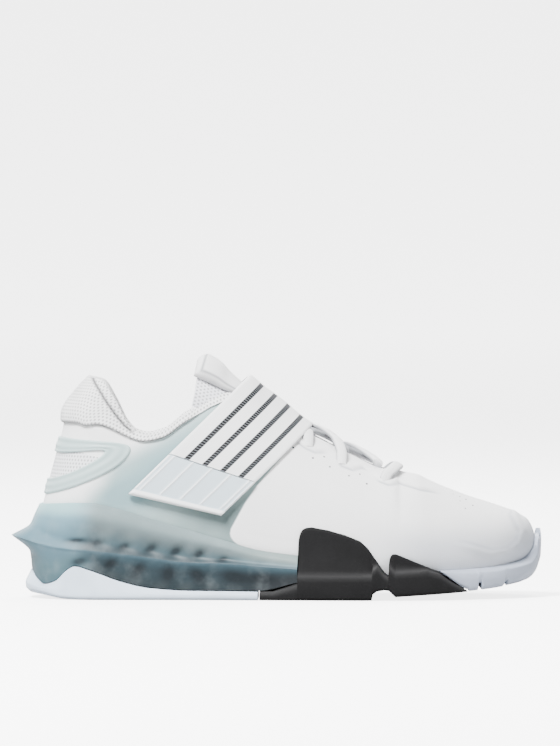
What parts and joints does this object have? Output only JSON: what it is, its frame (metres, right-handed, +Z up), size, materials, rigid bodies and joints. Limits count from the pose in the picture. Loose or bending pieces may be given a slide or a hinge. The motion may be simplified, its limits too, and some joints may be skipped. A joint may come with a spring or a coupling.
{
  "type": "weightlifting shoe",
  "caption": "Low weightlifting shoe for the right foot: raised heel wedge with a rear spur, flat treads, laced throat under an instep strap.",
  "frame": {"origin": "on the floor under the middle of the bounding box, where the treads of heel and forefoot rest", "axes": "+X from the heel to the toe, +Y towards the medial side of the right foot, +Z up"},
  "size_m": [0.2992, 0.1076, 0.1369],
  "materials": {
    "white_rubber": "smooth matte",
    "dark_rubber": "matte, lightly textured",
    "wedge_plastic": "satin, tinted through",
    "upper_textile": "fine mesh under a satin film",
    "film_overlay": "satin",
    "knit": "open spacer knit",
    "sock_liner": "brushed",
    "strap_web": "coated webbing",
    "strap_end": "satin, ribbed",
    "lace_cord": "woven"
  },
  "bodies": {
    "root": {"heel_outsole": "white_rubber", "forefoot_outsole": "dark_rubber", "toe_outsole": "white_rubber", "heel_wedge": "wedge_plastic", "upper": "upper_textile", "collar_cuff": "knit", "heel_frame": "film_overlay", "insole": "sock_liner", "tongue": "knit", "tongue_tab": "upper_textile", "strap": "strap_web", "strap_tab": "strap_end", "lace_1": "lace_cord", "lace_2": "lace_cord", "lace_3": "lace_cord", "lace_4": "lace_cord", "lace_5": "lace_cord"}
  },
  "joints": []
}
